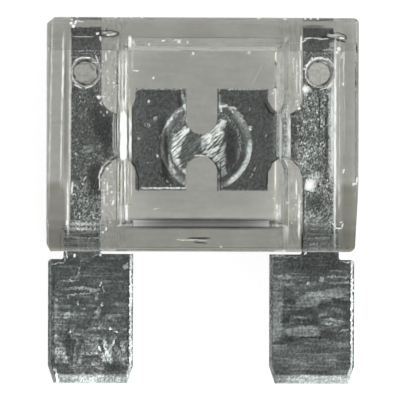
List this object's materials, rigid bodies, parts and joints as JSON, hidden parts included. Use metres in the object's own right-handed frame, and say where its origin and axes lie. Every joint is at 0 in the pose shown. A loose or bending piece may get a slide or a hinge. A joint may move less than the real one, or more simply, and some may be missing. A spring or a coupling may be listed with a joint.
{
  "type": "automotive blade fuse",
  "caption": "Automotive blade fuse of the largest blade size: a stamped metal element with a coined bridge, staked inside a see-through grey housing with a sunk window.",
  "frame": {"origin": "middle of the footprint at the surface that the fuse lies on, with the fuse on its back", "axes": "+X across the fuse to the right seen from its front, +Y from the blades to the head, +Z out of the front face"},
  "size_m": [0.0292, 0.0342, 0.0085],
  "materials": {
    "clear_plastic": "gloss",
    "tinned_metal": "satin, speckled and scratched"
  },
  "bodies": {
    "root": {"housing": "clear_plastic", "fuse_element": "tinned_metal"}
  },
  "joints": []
}
